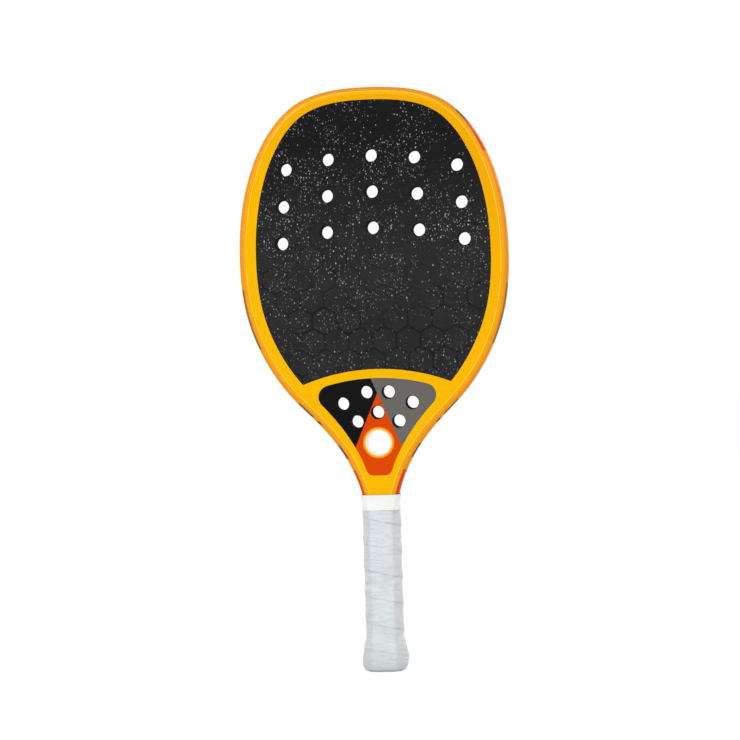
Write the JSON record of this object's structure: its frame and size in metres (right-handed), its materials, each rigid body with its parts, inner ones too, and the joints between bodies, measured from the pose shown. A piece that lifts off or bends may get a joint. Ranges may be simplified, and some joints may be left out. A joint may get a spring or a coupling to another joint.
{
  "type": "beach tennis racket",
  "caption": "Beach tennis racket with a perforated foam-cored face, a hollow carbon frame running down into the handle, a hang hole in the throat and a wound grip.",
  "frame": {"origin": "middle of the grip, on the handle's own axis", "axes": "+Z along the handle to the tip of the head, -Y out of the front face, +X to the right seen from the front"},
  "size_m": [0.2304, 0.0361, 0.5],
  "materials": {
    "frame_paint": "gloss",
    "bare_carbon": "satin",
    "foam_core": "matte",
    "yellow_film": "gloss",
    "grit_film": "matte",
    "black_print": "satin",
    "grey_print": "satin",
    "red_print": "satin",
    "ring_print": "satin",
    "white_sleeve": "satin",
    "pallet_foam": "matte",
    "cap_plastic": "matte",
    "staple_steel": "satin",
    "base_grip_foam": "matte",
    "overgrip_film": "matte",
    "white_tape": "matte"
  },
  "bodies": {
    "root": {"frame_tube": "frame_paint", "bridge_tube": "bare_carbon", "head_core": "foam_core", "throat_core": "foam_core", "neck_filler": "foam_core", "front_skin": "bare_carbon", "back_skin": "bare_carbon", "front_border_film": "yellow_film", "back_border_film": "yellow_film", "front_face_film": "grit_film", "back_face_film": "grit_film", "front_throat_black": "black_print", "back_throat_black": "black_print", "front_throat_grey": "grey_print", "back_throat_grey": "grey_print", "front_throat_red": "red_print", "back_throat_red": "red_print", "front_hole_ring": "ring_print", "back_hole_ring": "ring_print", "hang_hole_sleeve": "white_sleeve", "handle_pallet_front": "pallet_foam", "handle_pallet_back": "pallet_foam", "butt_cap": "cap_plastic", "butt_cap_staples": "staple_steel", "base_grip": "base_grip_foam", "overgrip": "overgrip_film", "finishing_tape": "white_tape"}
  },
  "joints": []
}
